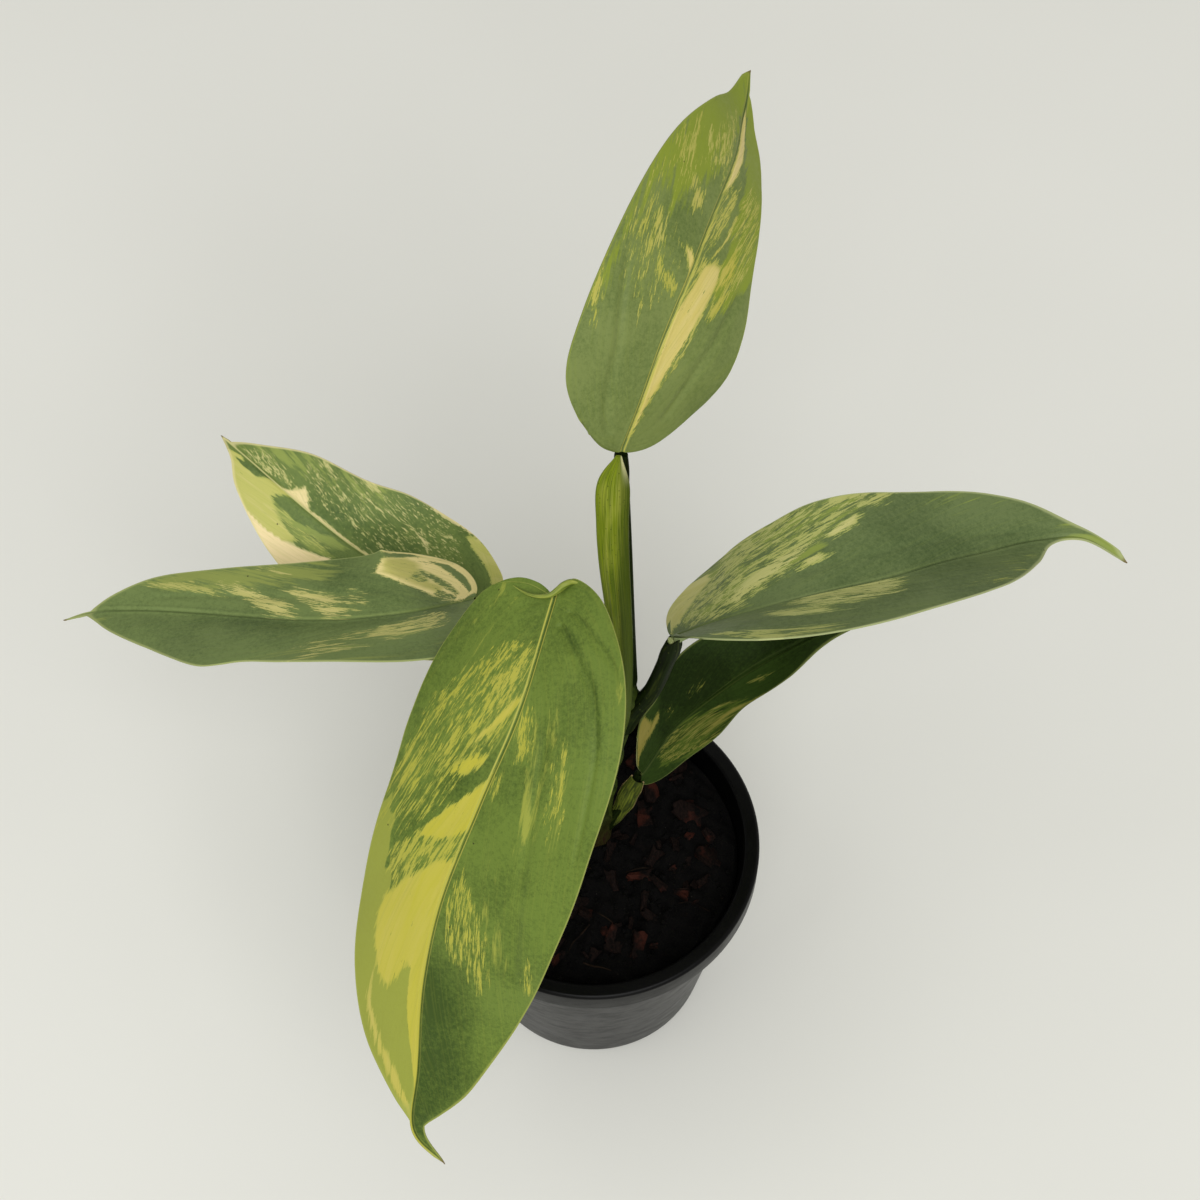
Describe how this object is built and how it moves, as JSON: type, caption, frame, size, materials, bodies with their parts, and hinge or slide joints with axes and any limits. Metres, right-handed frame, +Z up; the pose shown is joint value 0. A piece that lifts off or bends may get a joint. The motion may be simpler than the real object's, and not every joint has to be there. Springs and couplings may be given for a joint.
{
  "type": "potted variegated philodendron hastatum",
  "caption": "Young climbing aroid with long arrow-shaped leaves streaked green and cream, on a short stem in a tapered nursery pot of bark mix.",
  "frame": {"origin": "centre of the pot's underside, on the surface that the pot stands on", "axes": "+Z up; -Y towards the front, the side that the largest leaf hangs over; +X to the right seen from the front"},
  "size_m": [0.3122, 0.2543, 0.2987],
  "materials": {
    "pot": "thin moulded black plastic, semi-gloss",
    "potting_mix": "crumbly dark mix with reddish-brown bark chips",
    "stem": "smooth green stem with paler nodes and brown roots",
    "petiole": "smooth waxy green leaf stalk",
    "blade_front": "satin leaf, yellow-green with lime and yellow sectors and streaks",
    "blade_left": "satin leaf, grey-green with cream flecks and patches",
    "blade_back": "satin leaf, grey-green with a cream margin and fine flecks",
    "blade_right": "satin leaf, grey-green with cream streaks",
    "blade_low": "satin leaf, dark green with cream flecks",
    "blade_top": "satin leaf, mid green with a cream-yellow band beside the midrib",
    "new_leaf_sheath": "satin lime-green ribbed sheath",
    "old_sheath": "dry, torn, yellow-green sheath with brown edges"
  },
  "bodies": {
    "root": {"pot": "pot", "potting_mix": "potting_mix", "main_stem": "stem", "petiole_front": "petiole", "petiole_left": "petiole", "petiole_back": "petiole", "petiole_top": "petiole", "petiole_right": "petiole", "petiole_low": "petiole", "blade_front": "blade_front", "blade_left": "blade_left", "blade_back": "blade_back", "blade_top": "blade_top", "blade_right": "blade_right", "blade_low": "blade_low", "new_leaf_sheath": "new_leaf_sheath", "old_sheath": "old_sheath"}
  },
  "joints": []
}
